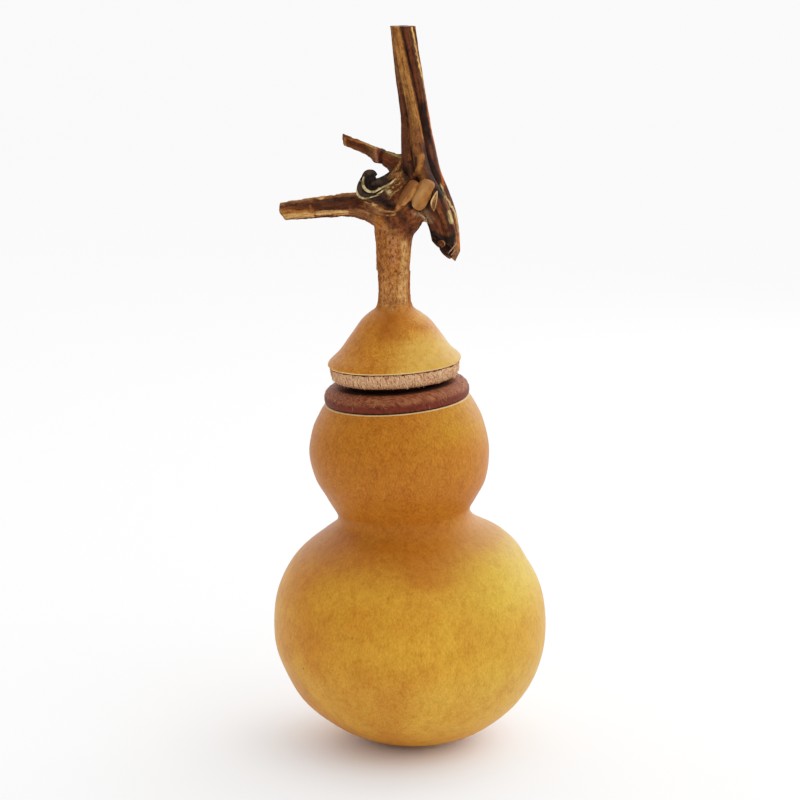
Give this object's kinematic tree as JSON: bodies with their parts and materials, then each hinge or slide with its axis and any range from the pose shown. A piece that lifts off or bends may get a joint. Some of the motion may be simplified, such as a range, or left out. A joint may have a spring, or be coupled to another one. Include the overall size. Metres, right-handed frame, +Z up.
{
  "type": "lidded gourd jar",
  "caption": "Dried bottle gourd made into a small lidded jar, with a turned wood collar and plug, and the gourd's sawn-off tip with its stalk and vine as the lid.",
  "frame": {"origin": "under the middle of the lower bulb, at floor level", "axes": "+Z up through the gourd's two bulbs and the lid's stalk, -Y towards the front, +X to the viewer's right"},
  "size_m": [0.0694, 0.0689, 0.1804],
  "materials": {
    "gourd_skin": "satin",
    "dark_wood": "matt",
    "pale_wood": "matt",
    "lid_skin": "satin"
  },
  "bodies": {
    "root": {"gourd_body": "gourd_skin", "mouth_collar": "dark_wood", "lid_plug": "pale_wood", "gourd_lid": "lid_skin"}
  },
  "joints": []
}
